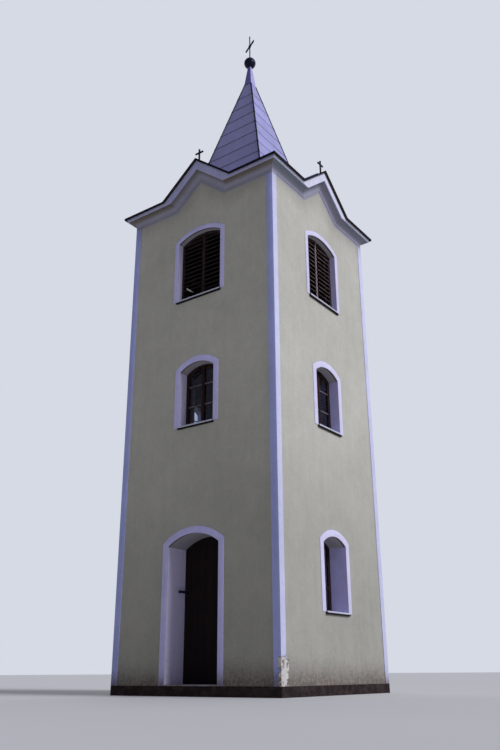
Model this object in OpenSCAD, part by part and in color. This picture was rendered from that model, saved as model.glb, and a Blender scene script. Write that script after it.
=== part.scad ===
// Village bell tower: a square rendered shaft in three storeys, a coved cornice that rises to a
// small gable on each side, cross gabled sheet roof, slender spire, ball and cross.
// Origin at the middle of the shaft on the ground, front with the door towards -Y, +Z up, mm.

/* [Shaft and storeys] */
// Width of the square shaft, face to face
shaft_w = 3600; // [3000:50:4500]
// Height of the plinth above the ground
plinth_h = 160; // [80:10:400]
// How far the plinth stands out from the wall
plinth_out = 10; // [0:5:60]
// Top of the ground storey walls, where the middle floor rests
ground_top = 3760; // [3400:20:4200]
// Top of the middle storey walls, where the belfry floor rests
middle_top = 6460; // [6000:20:6900]
// Where the wall face ends under the cornice
cornice_level = 9513; // [9000:1:10000]
// Wall thickness of the ground storey
ground_wall = 600; // [500:10:700]
// Wall thickness of the middle storey
middle_wall = 450; // [400:10:500]
// Wall thickness of the belfry
belfry_wall = 350; // [250:10:400]
// Thickness of the two floors
floor_t = 160; // [100:10:250]

/* [Doorway] */
// Clear width of the doorway
door_w = 1138; // [900:2:1300]
// Height of the arch springing above ground
door_spring = 2455; // [2100:5:2700]
// Rise of the doorway arch
door_rise = 190; // [100:5:300]
// Depth of the outer reveal in front of the leaf
door_reveal = 486; // [200:2:500]
// Width of the rebate behind the reveal, each side
rebate_w = 80; // [60:5:150]
// Height of the rebate above the arch crown
rebate_rise = 90; // [70:5:200]
// Thickness of the door leaf
leaf_t = 48; // [35:1:60]
// How far the leaf laps over the reveal, each side
leaf_lap = 40; // [20:5:60]
// Free gap round the moving leaf
leaf_gap = 6; // [5:1:12]
// Gap under the leaf
leaf_foot = 12; // [8:1:20]
// Thickness of the stone threshold
threshold_t = 20; // [10:5:40]
// Height of the iron latch bar above ground
bar_level = 1700; // [1000:10:1900]
// Distance of the latch bar from the free edge of the leaf
bar_in = 109; // [60:1:300]
// How far the latch bar stands out from the leaf
bar_len = 230; // [100:5:240]
// Thickness of the latch bar
bar_t = 22; // [15:1:30]
// Radius of the hinge pins
pin_r = 9; // [7:0.5:14]
// Running gap round the pins
pin_gap = 0.3; // [0.2:0.05:0.5]
// Wall of the hinge eyes
eye_wall = 8; // [6:1:12]
// Height of a hinge eye
eye_h = 60; // [40:5:90]
// Distance of the hinges from the top and the foot of the leaf
hinge_in = 380; // [250:10:600]
// Length of a hinge strap
strap_len = 760; // [400:20:1000]
// Thickness of a hinge strap
strap_t = 8; // [5:1:12]
// Opening angle of the door, for a look at the leaf
door_angle = 0; // [0:5:95]

/* [Ground storey windows] */
// Clear width
gwin_w = 784; // [600:2:900]
// Sill above ground
gwin_sill = 1319; // [1000:1:1600]
// Arch springing above ground
gwin_spring = 2497; // [2200:1:2700]
// Rise of the arch
gwin_rise = 135; // [80:1:200]
// Depth of the reveal
gwin_reveal = 335; // [100:5:400]

/* [Middle storey windows] */
// Clear width
mwin_w = 816; // [600:2:900]
// Sill above ground
mwin_sill = 4644; // [4400:1:4800]
// Arch springing above ground
mwin_spring = 5759; // [5500:1:6000]
// Rise of the arch
mwin_rise = 140; // [80:1:200]
// Depth of the reveal
mwin_reveal = 190; // [80:5:300]

/* [Belfry louvres] */
// Clear width
bell_w = 1080; // [800:2:1300]
// Sill above ground
bell_sill = 7309; // [7000:1:7600]
// Arch springing above ground
bell_spring = 8656; // [8400:1:8900]
// Rise of the arch
bell_rise = 150; // [80:1:250]
// Depth of the reveal
bell_reveal = 115; // [60:5:200]
// Spacing of the slats
slat_pitch = 97; // [80:1:130]
// Thickness of a slat
slat_t = 14; // [8:1:25]
// Breadth of a slat
slat_b = 112; // [80:1:140]
// Slope of a slat from level
slat_angle = 38; // [20:1:60]
// Depth of the louvre frame
louvre_d = 90; // [60:5:140]
// Width of the frame around the louvre
louvre_rim = 50; // [30:5:80]
// Width of the middle stile
louvre_stile = 72; // [40:2:100]
// How far the slats stand out in front of the stile
stile_set = 22; // [5:1:40]

/* [Surrounds, trims and sills] */
// Width of the plaster band around the door and the windows
band_w = 120; // [60:5:160]
// Width of the plaster band around the belfry louvres
bell_band_w = 100; // [60:5:160]
// How far bands and corner strips stand out from the wall
band_t = 10; // [5:1:30]
// Width of the corner strips
corner_w = 137; // [80:1:200]
// Thickness of a sheet sill at the frame
sill_t = 22; // [10:1:40]
// Drop of the sill towards the front
sill_fall = 8; // [2:1:15]
// How far a sill stands out from the wall
sill_out = 42; // [20:1:80]
// Depth of the front lip of a sill
sill_lip = 34; // [20:1:60]

/* [Window joinery] */
// Width of the casement frame around the glass
frame_w = 62; // [40:1:90]
// Depth of the casement frame
frame_d = 60; // [40:1:90]
// Width of the two meeting stiles together
meeting_w = 78; // [50:1:100]
// Width of a glazing bar
bar_w = 26; // [18:1:40]
// Depth of a glazing bar
glazing_d = 28; // [18:1:40]
// Thickness of the glass
glass_t = 6; // [4:1:10]

/* [Cornice and fascia] */
// Slope of the small gables
rake = 39.6; // [30:0.1:50]
// Half width of the gable at the foot of the cornice
gable_half = 641; // [400:1:900]
// Radius of the cove
cove_r = 130; // [60:1:200]
// Flat steps that make up the quarter round
cove_steps = 12; // [6:1:24]
// Plain band under the cove
cove_band = 14; // [0:1:60]
// Thickness of the fascia board
fascia_t = 23; // [15:1:40]

/* [Roof] */
// Overhang of the roof sheet beyond the wall
eave_out = 208; // [150:1:300]
// Level of the top of the roof edge
eave_level = 9745; // [9600:1:9900]
// Level of the gable ridges
ridge_level = 10482; // [10200:1:10800]
// Thickness of the roof deck, measured upright
deck_t = 45; // [25:1:80]
// Slope of the low skirt between the eaves and the spire
skirt_pitch = 25; // [15:1:40]

/* [Spire and finial] */
// Level where the spire faces would meet
spire_apex = 14247; // [13000:1:16000]
// Half width of the spire per unit of drop from that level
spire_slope = 0.249; // [0.15:0.001:0.4]
// Level of the foot of the cap
cap_level = 13850; // [13000:1:14500]
// Level of the top of the cap
cap_top = 14462; // [14000:1:15000]
// Half width of the cap at its top
cap_half_top = 36; // [20:1:60]
// How far the cap stands out over the spire at its foot
cap_lap = 9; // [2:1:20]
// Thickness of the spire shell, measured level
spire_t = 50; // [30:1:100]
// Radius of the ball
ball_r = 144; // [80:1:200]
// Height of the middle of the ball above the top of the cap
ball_up = 120; // [60:1:180]
// Height of the top of the cross above the middle of the ball
cross_h = 871; // [500:1:1400]
// Height of the cross arm above the middle of the ball
arm_h = 550; // [300:1:1000]
// Half length of the cross arm
arm_half = 213; // [100:1:300]
// Thickness of the cross arm
arm_t = 44; // [20:1:60]
// Depth of the cross arm
arm_d = 26; // [10:1:40]
// Radius of the cross post
post_r = 14; // [8:1:25]
// Turn of the cross arm from the front wall
cross_turn = -26.8; // [-45:0.1:45]
// Radius of the boss where the arm crosses the post
boss_r = 34; // [20:1:50]

/* [Gable crosses] */
// Distance of the gable crosses behind the edge of the roof
gable_cross_in = 136; // [40:1:400]
// Height of a gable cross above the ridge
gable_cross_h = 302; // [200:1:400]
// Height of its arm above the ridge
gable_arm_h = 209; // [120:1:300]
// Half length of its arm
gable_arm_half = 103; // [60:1:150]
// Thickness of its bars
gable_bar = 30; // [15:1:40]

/* [Hidden] */
$fn = 96;
half = shaft_w/2;
joint_cut = 1;
far = 3*ridge_level;
door_arch = [door_w, plinth_h, door_spring, door_rise];
gwin_arch = [gwin_w, gwin_sill, gwin_spring, gwin_rise];
mwin_arch = [mwin_w, mwin_sill, mwin_spring, mwin_rise];
bell_arch = [bell_w, bell_sill, bell_spring, bell_rise];
rebate_half = door_w/2 + rebate_w;
rebate_top = door_spring + door_rise + rebate_rise;
leaf_half = door_w/2 + leaf_lap;
leaf_y = -half + door_reveal + leaf_gap;
eye_r = pin_r + pin_gap + eye_wall;
hinge_x = leaf_half + leaf_gap;
bar_x = leaf_half - bar_in;
hinge_y = leaf_y + leaf_t + eye_r + joint_cut;
hinge_levels = [plinth_h + hinge_in, door_spring - hinge_in];
cove_out = band_t + cove_r;
cove_h = cove_band + cove_r;
fascia_out = cove_out + fascia_t;
eaves_h = ridge_level - cornice_level;
gable_peak = cornice_level + gable_half*tan(rake);
eave_half = half + eave_out;
eave_low = eave_level - deck_t;
skirt_rise = eave_half*tan(skirt_pitch);
gable_foot = (ridge_level - eave_level)/tan(rake);
gable_slope = (ridge_level - eave_level)/gable_foot;
gable_cross_at = eave_half - gable_cross_in;
ball_level = cap_top + ball_up;
cross_top = ball_level + cross_h;
arm_level = ball_level + arm_h;
cap_half = (spire_apex - cap_level)*spire_slope + cap_lap;
bar_rows = 3;

// Sub-part to draw

// Radius of the circle through an arch [width, sill, springing, rise].
function arch_r(a) = (a[0]*a[0]/4 + a[3]*a[3])/(2*a[3]);
// Level of the middle of that circle.
function arch_c(a) = a[2] + a[3] - arch_r(a);

// Outline of an arched opening, drawn in by an even margin.
module arch_shape(a, inset = 0) {
    w = a[0] - 2*inset;
    foot = a[1] + inset;
    deep = 2*(a[2] - a[1]);
    intersection() {
        translate([-w/2, foot]) square([w, a[2] + a[3] - inset - foot]);
        union() {
            translate([0, arch_c(a)]) circle(arch_r(a) - inset);
            translate([-w/2, arch_c(a) - deep]) square([w, deep]);
        }
    }
}

// Turns the front face's pieces to another side: 0 front, 1 right, 2 back, 3 left.
module on_side(side) {
    rotate([0, 0, 90*side]) children();
}

// Extrudes an outline drawn on the front face, between two depths behind the wall face.
module panel(from, to) {
    translate([0, to - half, 0]) rotate([90, 0, 0]) linear_extrude(to - from) children();
}

// Upright wall slab with an arched opening.
module wall_slab(w, z0, z1, t, a) {
    difference() {
        panel(0, t) translate([-w/2, z0]) square([w, z1 - z0]);
        panel(-joint_cut, t + joint_cut) arch_shape(a);
    }
}

// Everything below the underside of the roof deck.
module under_deck() {
    translate([-far/2, -far/2, 0]) cube([far, far, eave_low]);
    roof_form(0);
}

// Low skirt pyramid with two crossing gable ridges, its surface raised by an upright measure.
module roof_form(up) {
    base = eave_low;
    intersection() {
        skirt_prism(base, up);
        rotate([0, 0, 90]) skirt_prism(base, up);
    }
    gable_prism(base, up);
    rotate([0, 0, 90]) gable_prism(base, up);
}

module skirt_prism(base, up) {
    translate([0, eave_half, 0]) rotate([90, 0, 0]) linear_extrude(2*eave_half)
        polygon([[-eave_half, base - joint_cut], [eave_half, base - joint_cut], [eave_half, base + up],
            [0, base + up + skirt_rise], [-eave_half, base + up]]);
}

module gable_prism(base, up) {
    peak = ridge_level - deck_t + up;
    foot = (peak - base + joint_cut)/gable_slope;
    translate([0, eave_half, 0]) rotate([90, 0, 0]) linear_extrude(2*eave_half)
        polygon([[-foot, base - joint_cut], [foot, base - joint_cut], [0, peak]]);
}

// Pyramid of the spire down to a level, drawn in by a level margin.
module spire_form(inset, low) {
    intersection() {
        spire_prism(inset, low);
        rotate([0, 0, 90]) spire_prism(inset, low);
    }
}

module spire_prism(inset, low) {
    peak = spire_apex - inset/spire_slope;
    w = (peak - low)*spire_slope;
    translate([0, w, 0]) rotate([90, 0, 0]) linear_extrude(2*w)
        polygon([[-w, low], [w, low], [0, peak]]);
}

// Space under the gabled eaves line of the front, for a section drawn with its distance from the
// wall along -X and its height above the line along +Y. The gable is where both rakes overlap.
module eaves_space() {
    run = 2*eave_half;
    translate([-eave_half, -half, cornice_level]) rotate([90, 0, 90]) linear_extrude(run) children();
    intersection() {
        rake_space(rake, run) children();
        rake_space(-rake, run) children();
    }
}

module rake_space(slope, run) {
    translate([0, -half, gable_peak]) rotate([0, slope, 0]) translate([-run/2, 0, 0])
        rotate([90, 0, 90]) linear_extrude(run) children();
}

// Ring between two distances from the wall, from the eaves line up to the deck.
module eaves_ring(d0, d1) {
    outer = half + d1;
    inner = half + d0;
    difference() {
        intersection() {
            translate([-outer, -outer, cornice_level - joint_cut])
                cube([2*outer, 2*outer, eaves_h]);
            under_deck();
        }
        translate([-inner, -inner, 0]) cube([2*inner, 2*inner, far]);
        for (side = [0:3]) on_side(side) eaves_space() children();
    }
}

// Section of the air under a height, from inside the wall face to beyond the eaves.
module air_below(h) {
    translate([-eave_out, -eaves_h]) square([eave_out + joint_cut, eaves_h + h]);
}

module plinth() {
    w = shaft_w + 2*plinth_out;
    color("#4a3b33") translate([-w/2, -w/2, 0]) cube([w, w, plinth_h]);
}

// Front wall beside the doorway: full depth, with a nib that narrows the outer reveal.
module door_jamb() {
    panel(0, ground_wall) translate([rebate_half, plinth_h])
        square([half - rebate_half, ground_top - plinth_h]);
    panel(0, door_reveal) translate([door_w/2, plinth_h])
        square([rebate_w, door_spring - plinth_h]);
}

module front_wall_left() {
    color("#d9d8c4") mirror([1, 0, 0]) door_jamb();
}

module front_wall_right() {
    color("#d9d8c4") door_jamb();
}

module front_wall_over_door() {
    color("#d9d8c4") difference() {
        panel(0, ground_wall) translate([-rebate_half, door_spring])
            square([2*rebate_half, ground_top - door_spring]);
        panel(-joint_cut, ground_wall) arch_shape(door_arch);
        panel(door_reveal, ground_wall + joint_cut) translate([-rebate_half - joint_cut, plinth_h])
            square([2*rebate_half + 2*joint_cut, rebate_top - plinth_h]);
    }
}

module ground_side(side, w) {
    color("#d9d8c4") on_side(side) wall_slab(w, plinth_h, ground_top, ground_wall, gwin_arch);
}

module right_wall_ground() {
    ground_side(1, shaft_w - 2*ground_wall);
}

module back_wall_ground() {
    ground_side(2, shaft_w);
}

module left_wall_ground() {
    ground_side(3, shaft_w - 2*ground_wall);
}

module middle_side(side, w) {
    color("#dcdbc8") on_side(side) wall_slab(w, ground_top, middle_top, middle_wall, mwin_arch);
}

module front_wall_middle() {
    middle_side(0, shaft_w);
}

module right_wall_middle() {
    middle_side(1, shaft_w - 2*middle_wall);
}

module back_wall_middle() {
    middle_side(2, shaft_w);
}

module left_wall_middle() {
    middle_side(3, shaft_w - 2*middle_wall);
}

// Belfry wall, carried up into its gable to meet the roof deck.
module belfry_side(side, w) {
    color("#dfdecb") intersection() {
        on_side(side) wall_slab(w, middle_top, ridge_level, belfry_wall, bell_arch);
        under_deck();
    }
}

module front_wall_belfry() {
    belfry_side(0, shaft_w);
}

module right_wall_belfry() {
    belfry_side(1, shaft_w - 2*belfry_wall);
}

module back_wall_belfry() {
    belfry_side(2, shaft_w);
}

module left_wall_belfry() {
    belfry_side(3, shaft_w - 2*belfry_wall);
}

module floor_slab(level, wall) {
    w = shaft_w - 2*wall;
    color("#8a6f52") translate([-w/2, -w/2, level]) cube([w, w, floor_t]);
}

module middle_floor() {
    floor_slab(ground_top, middle_wall);
}

module belfry_floor() {
    floor_slab(middle_top, belfry_wall);
}

module door_threshold() {
    color("#b9b7b5") panel(0, door_reveal) translate([-door_w/2, plinth_h])
        square([door_w, threshold_t]);
}

// Swings the leaf inwards about its right edge.
module door_swing() {
    translate([hinge_x, hinge_y, 0]) rotate([0, 0, -door_angle]) translate([-hinge_x, -hinge_y, 0])
        children();
}

module door_leaf() {
    color("#3a241c") door_swing() intersection() {
        translate([0, leaf_y + leaf_t, 0]) rotate([90, 0, 0]) linear_extrude(leaf_t)
            arch_shape(door_arch, -leaf_lap);
        translate([-far/2, -far/2, plinth_h + leaf_foot]) cube([far, far, far]);
    }
}

module door_latch_bar() {
    plate = 3*bar_t;
    color("#2a2a2d") door_swing() translate([-bar_x, leaf_y, bar_level]) {
        translate([-bar_t/2, -bar_len, -bar_t/2]) cube([bar_t, bar_len, bar_t]);
        translate([-plate/2, -bar_t/2, -plate]) cube([plate, bar_t/2, 2*plate]);
        translate([0, -bar_len, 0]) sphere(0.8*bar_t);
    }
}

// Upright pins on brackets that stand on the rebate's side, one under each hinge eye.
module door_pintles() {
    color("#2a2a2d") for (z = hinge_levels) translate([hinge_x, hinge_y, z]) {
        translate([0, 0, -bar_t]) cylinder(r = pin_r, h = bar_t + eye_h);
        translate([0, -pin_r, -bar_t]) cube([rebate_half - hinge_x, 2*pin_r, bar_t - pin_gap]);
    }
}

// Eyes that turn on the pins, each with a flat strap across the inside of the leaf.
module door_hinge_straps() {
    color("#2a2a2d") door_swing() for (z = hinge_levels) difference() {
        translate([0, 0, z]) union() {
            translate([hinge_x, hinge_y, 0]) cylinder(r = eye_r, h = eye_h);
            translate([hinge_x - strap_len, leaf_y + leaf_t, 0]) cube([strap_len, strap_t, eye_h]);
        }
        translate([hinge_x, hinge_y, z - joint_cut]) cylinder(r = pin_r + pin_gap, h = eye_h + 2*joint_cut);
    }
}

// Raised plaster band around an arched opening, open at the sill.
module band_around(a, w, foot) {
    panel(-band_t, 0) difference() {
        arch_shape([a[0], foot + w, a[2], a[3]], -w);
        arch_shape(a);
        translate([-a[0]/2, foot - joint_cut]) square([a[0], a[1] - foot + 2*joint_cut]);
    }
}

module door_surround() {
    color("#d9dae6") band_around(door_arch, band_w, plinth_h);
}

module ground_window_surrounds() {
    color("#d9dae6") for (side = [1, 2, 3]) on_side(side) band_around(gwin_arch, band_w, gwin_sill);
}

module middle_window_surrounds() {
    color("#d9dae6") for (side = [0:3]) on_side(side) band_around(mwin_arch, band_w, mwin_sill);
}

module louvre_surrounds() {
    color("#d9dae6") for (side = [0:3]) on_side(side) band_around(bell_arch, bell_band_w, bell_sill);
}

// Pair of casements with arched heads, three panes high, seated on the sill.
module casement(a, depth) {
    open_h = a[2] + a[3] - a[1] - sill_t;
    b = [a[0], a[1] + sill_t, a[2], a[3]];
    panel(depth, depth + frame_d) difference() {
        arch_shape(b);
        arch_shape(b, frame_w);
    }
    panel(depth, depth + glazing_d) intersection() {
        arch_shape(b, frame_w - joint_cut);
        union() {
            translate([-meeting_w/2, b[1]]) square([meeting_w, open_h]);
            for (i = [1:bar_rows - 1]) translate([-a[0]/2, b[1] + i*open_h/bar_rows])
                square([a[0], bar_w]);
        }
    }
}

module casement_glass(a, depth) {
    panel(depth + glazing_d, depth + glazing_d + glass_t)
        arch_shape([a[0], a[1] + sill_t, a[2], a[3]], frame_w);
}

module ground_window_frames() {
    color("#4b3024") for (side = [1, 2, 3]) on_side(side) casement(gwin_arch, gwin_reveal);
}

module middle_window_frames() {
    color("#4b3024") for (side = [0:3]) on_side(side) casement(mwin_arch, mwin_reveal);
}

module ground_window_glass() {
    color("#7f8ea0") for (side = [1, 2, 3]) on_side(side) casement_glass(gwin_arch, gwin_reveal);
}

module middle_window_glass() {
    color("#7f8ea0") for (side = [0:3]) on_side(side) casement_glass(mwin_arch, mwin_reveal);
}

// Arched louvre frame with a middle stile that stands back from the slats.
module louvre_frame() {
    b = [bell_w, bell_sill + sill_t, bell_spring, bell_rise];
    panel(bell_reveal, bell_reveal + louvre_d) difference() {
        arch_shape(b);
        arch_shape(b, louvre_rim);
    }
    panel(bell_reveal + stile_set, bell_reveal + louvre_d) intersection() {
        arch_shape(b, louvre_rim - joint_cut);
        translate([-louvre_stile/2, bell_sill]) square([louvre_stile, far]);
    }
}

// Sloping slats of one louvre, each cut to the arched bay that it spans.
module louvre_slats() {
    b = [bell_w, bell_sill + sill_t, bell_spring, bell_rise];
    count = floor((bell_spring + bell_rise - bell_sill - sill_t - 2*louvre_rim)/slat_pitch);
    for (i = [0:count - 1], s = [-1, 1]) intersection() {
        panel(bell_reveal - slat_t, bell_reveal + louvre_d) intersection() {
            arch_shape(b, louvre_rim);
            translate([s > 0 ? louvre_stile/2 : -bell_w/2, bell_sill])
                square([bell_w/2 - louvre_stile/2, far]);
        }
        translate([0, bell_reveal + louvre_d/2 - half,
            bell_sill + sill_t + louvre_rim + (i + 0.5)*slat_pitch]) rotate([slat_angle, 0, 0])
            translate([-bell_w/2, -slat_b/2, -slat_t/2]) cube([bell_w, slat_b, slat_t]);
    }
}

module louvre_frames() {
    color("#3d2a24") for (side = [0:3]) on_side(side) louvre_frame();
}

module louvre_slats_front() {
    color("#4a332b") on_side(0) louvre_slats();
}

module louvre_slats_right() {
    color("#4a332b") on_side(1) louvre_slats();
}

module louvre_slats_back() {
    color("#4a332b") on_side(2) louvre_slats();
}

module louvre_slats_left() {
    color("#4a332b") on_side(3) louvre_slats();
}

// Sheet sill: level under the frame, falling to the front, with a turned down lip.
module sill(a, depth, back) {
    translate([-a[0]/2, -half, a[1]]) rotate([90, 0, 90]) linear_extrude(a[0])
        polygon([[depth + back, 0], [depth + back, sill_t], [depth, sill_t],
            [-sill_out, sill_t - sill_fall], [-sill_out, sill_t - sill_lip],
            [-sill_out + sill_fall, sill_t - sill_lip], [-sill_out + sill_fall, 0]]);
}

module window_sills() {
    color("#c9ccd8") {
        for (side = [1, 2, 3]) on_side(side) sill(gwin_arch, gwin_reveal, frame_d);
        for (side = [0:3]) on_side(side) {
            sill(mwin_arch, mwin_reveal, frame_d);
            sill(bell_arch, bell_reveal, louvre_d);
        }
    }
}

module corner_strips() {
    color("#d9dae6") for (side = [0:3]) on_side(side)
        translate([0, 0, plinth_h]) linear_extrude(cornice_level - plinth_h) difference() {
            translate([half - corner_w, -half - band_t]) square([corner_w + band_t, corner_w + band_t]);
            translate([half - corner_w - joint_cut, -half])
                square([corner_w + joint_cut, corner_w + joint_cut]);
        }
}

module cornice() {
    color("#d3d4de") {
        eaves_ring(0, band_t) air_below(0);
        eaves_ring(band_t, cove_out) cove_air();
    }
}

// Air under the cove: a quarter round in flat steps, from the plain band out to the fascia. The
// first step runs on inwards past the face of the band.
module cove_air() {
    step = 90/cove_steps;
    inwards = [[0, -eaves_h], [cove_r*(1 - cos(step)) - band_t, cove_band - cove_r*sin(step)]];
    quarter = [for (i = [0:cove_steps])
        [cove_r*(cos(i*step) - 1) - band_t, cove_band + cove_r*sin(i*step)]];
    polygon(concat(inwards, quarter, [[-eave_out, cove_h], [-eave_out, -eaves_h]]));
}

module fascia() {
    color("#c4c8da") eaves_ring(cove_out, fascia_out) air_below(cove_h);
}

// Sheeted deck of the skirt and the four gables, open under the spire.
module roof_deck() {
    color("#5d6490") difference() {
        roof_form(deck_t);
        under_deck();
        spire_form(spire_t, eave_low - deck_t);
    }
}

module spire() {
    color("#8d92c4") difference() {
        spire_form(0, eave_low);
        spire_form(spire_t, eave_low - joint_cut);
        roof_form(deck_t);
        translate([-far/2, -far/2, 0]) cube([far, far, eave_level]);
        translate([-far/2, -far/2, cap_level]) cube([far, far, far]);
    }
}

module spire_cap() {
    color("#6d74a8") difference() {
        intersection() {
            cap_prism();
            rotate([0, 0, 90]) cap_prism();
        }
        translate([0, 0, ball_level]) sphere(ball_r);
    }
}

module cap_prism() {
    translate([0, cap_half, 0]) rotate([90, 0, 0]) linear_extrude(2*cap_half)
        polygon([[-cap_half, cap_level], [cap_half, cap_level], [cap_half_top, cap_top],
            [-cap_half_top, cap_top]]);
}

module spire_ball() {
    color("#2c3554") translate([0, 0, ball_level]) sphere(ball_r);
}

module spire_cross() {
    color("#23262f") difference() {
        rotate([0, 0, cross_turn]) union() {
            translate([0, 0, ball_level]) cylinder(r = post_r, h = cross_top - ball_level);
            translate([-arm_half, -arm_d/2, arm_level - arm_t/2]) cube([2*arm_half, arm_d, arm_t]);
            translate([0, 0, arm_level]) sphere(boss_r);
        }
        translate([0, 0, ball_level]) sphere(ball_r);
    }
}

module gable_crosses() {
    color("#23262f") for (side = [0:3]) on_side(side) difference() {
        translate([0, -gable_cross_at, ridge_level]) union() {
            translate([-gable_bar/2, -gable_bar/2, -gable_bar])
                cube([gable_bar, gable_bar, gable_cross_h + gable_bar]);
            translate([-gable_arm_half, -gable_bar/2, gable_arm_h - gable_bar/2])
                cube([2*gable_arm_half, gable_bar, gable_bar]);
        }
        gable_prism(eave_low, deck_t);
    }
}

plinth();
front_wall_left();
front_wall_right();
front_wall_over_door();
right_wall_ground();
back_wall_ground();
left_wall_ground();
front_wall_middle();
right_wall_middle();
back_wall_middle();
left_wall_middle();
front_wall_belfry();
right_wall_belfry();
back_wall_belfry();
left_wall_belfry();
middle_floor();
belfry_floor();
door_threshold();
door_pintles();
door_leaf();
door_latch_bar();
door_hinge_straps();
door_surround();
ground_window_surrounds();
middle_window_surrounds();
louvre_surrounds();
ground_window_frames();
middle_window_frames();
ground_window_glass();
middle_window_glass();
louvre_frames();
louvre_slats_front();
louvre_slats_right();
louvre_slats_back();
louvre_slats_left();
window_sills();
corner_strips();
cornice();
fascia();
roof_deck();
spire();
spire_cap();
spire_ball();
spire_cross();
gable_crosses();
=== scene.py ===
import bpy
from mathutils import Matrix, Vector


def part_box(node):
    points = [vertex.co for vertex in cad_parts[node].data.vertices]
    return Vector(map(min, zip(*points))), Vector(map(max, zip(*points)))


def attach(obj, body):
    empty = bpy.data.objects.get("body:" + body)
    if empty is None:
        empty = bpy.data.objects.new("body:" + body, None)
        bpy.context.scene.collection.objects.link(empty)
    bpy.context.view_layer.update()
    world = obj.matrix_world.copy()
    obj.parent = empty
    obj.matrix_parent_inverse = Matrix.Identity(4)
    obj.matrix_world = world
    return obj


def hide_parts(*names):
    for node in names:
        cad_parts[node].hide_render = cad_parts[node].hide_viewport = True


bl_info = {
    "name": "Village Bell Tower",
    "version": (1, 0, 0),
    "blender": (4, 5, 0),
    "location": "3D View > Sidebar > Bell Tower",
    "description": "Sheet roof, joinery, render and a plain studio for a village bell tower",
    "category": "Add Mesh",
}

import math
import random
from collections import namedtuple

import bmesh
import bpy
from bpy.props import FloatProperty, FloatVectorProperty, IntProperty, PointerProperty
from mathutils import Matrix, Vector, noise

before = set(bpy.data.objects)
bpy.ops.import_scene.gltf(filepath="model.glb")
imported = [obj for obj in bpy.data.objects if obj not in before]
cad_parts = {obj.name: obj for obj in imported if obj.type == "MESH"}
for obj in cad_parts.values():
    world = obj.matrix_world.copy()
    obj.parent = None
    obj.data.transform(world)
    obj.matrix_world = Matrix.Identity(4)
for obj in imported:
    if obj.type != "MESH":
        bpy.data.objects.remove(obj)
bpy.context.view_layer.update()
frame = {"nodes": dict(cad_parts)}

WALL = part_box("front_wall_middle")[1].x
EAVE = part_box("roof_deck")[1].x
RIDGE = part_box("roof_deck")[1].z
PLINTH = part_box("plinth")[1].z
GROUND_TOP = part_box("front_wall_over_door")[1].z
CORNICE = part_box("corner_strips")[1].z
SLAT_FRONT = -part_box("louvre_slats_front")[0].y
CAP_LOW, CAP_HIGH = (corner.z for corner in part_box("spire_cap"))
LEAF_LOW, LEAF_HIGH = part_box("door_leaf")
BALL_LOW, BALL_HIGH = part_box("spire_ball")

SIDES = range(4)
WINDOW_SIDES = (1, 2, 3)
UP = Vector((0, 0, 1))
MIRROR = Matrix.Diagonal((-1, 1, 1, 1))

Opening = namedtuple("Opening", "width sill spring rise")
GROUND_WINDOW = Opening(0.784, 1.319, 2.497, 0.135)
MIDDLE_WINDOW = Opening(0.816, 4.644, 5.759, 0.140)
LOUVRE = Opening(1.080, 7.309, 8.656, 0.150)
GROUND_REVEAL = 0.335
MIDDLE_REVEAL = 0.190
# depth in the wall where the inside starts, in the ground storey and above it
INSIDE_GROUND = 0.494
INSIDE_UPPER = 0.255
SLAT_PITCH = 0.097
# level of the slat that is broken
BROKEN_SLAT = 7.56
# height of the painted strip of wall under the cove
COVE_BAND = 0.055
SHORTEST_SEAM = 0.08
FLOOR_BOARD = 0.19
RAW_WOOD = (0.72, 0.70, 0.66, 1)
RAW_WOOD_WORN = (0.55, 0.52, 0.47, 1)


# Small tools

def settings(name):
    return getattr(bpy.context.scene, "bell_tower_" + name)


def done():
    bpy.ops.object.mode_set(mode="OBJECT")


def only(*objects):
    """Select these objects alone, the first one active."""
    if bpy.context.mode != "OBJECT":
        done()
    bpy.ops.object.select_all(action="DESELECT")
    for piece in objects:
        piece.select_set(True)
    bpy.context.view_layer.objects.active = objects[0]
    return objects[0]


def named(piece, name):
    piece.name = name
    piece.data.name = name
    return piece


def added(name):
    """Name the primitive that was just added."""
    return only(named(bpy.context.active_object, name))


def edit(piece):
    """Go into edit mode with all the faces selected."""
    only(piece)
    bpy.ops.object.mode_set(mode="EDIT")
    bpy.ops.mesh.select_mode(type="FACE")
    bpy.ops.mesh.select_all(action="SELECT")


def pick(piece, kind, test):
    """Select the faces, edges or verts of the mesh in edit mode that pass a test."""
    mesh = bmesh.from_edit_mesh(piece.data)
    found = [item for item in getattr(mesh, kind) if test(item)]
    if not found:
        raise RuntimeError("no " + kind + " to select on " + piece.name)
    for item in [*mesh.faces, *mesh.edges, *mesh.verts]:
        item.select = False
    for item in found:
        item.select = True
    bmesh.update_edit_mesh(piece.data)


def draw_up(width, height, profile):
    """Pull the selected faces up through levels, each with its own width."""
    for level, wide in profile:
        bpy.ops.mesh.extrude_region_move(TRANSFORM_OT_translate={"value": (0, 0, level - height)})
        bpy.ops.transform.resize(value=(wide / width, wide / width, 1))
        width, height = wide, level


def settle(piece):
    """Put the object's place, turn and size into its mesh."""
    only(piece)
    bpy.ops.object.transform_apply(location=True, rotation=True, scale=True)
    return piece


def outwards(piece):
    edit(piece)
    bpy.ops.mesh.normals_make_consistent(inside=False)
    done()
    return piece


def modified(piece, kind, **values):
    """Add a modifier with these values and apply it."""
    only(piece)
    modifier = piece.modifiers.new(kind.lower(), kind)
    for key, value in values.items():
        setattr(modifier, key, value)
    bpy.ops.object.modifier_apply(modifier=modifier.name)
    return piece


def smooth(angle):
    bpy.ops.object.shade_smooth_by_angle(angle=math.radians(angle))


def soften(piece, width, segments=2, angle=35.0):
    """Round the sharp edges and keep the faces flat."""
    modified(piece, "BEVEL", width=width, segments=segments, limit_method="ANGLE",
             angle_limit=math.radians(angle), use_clamp_overlap=True)
    smooth(32)
    return piece


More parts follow.
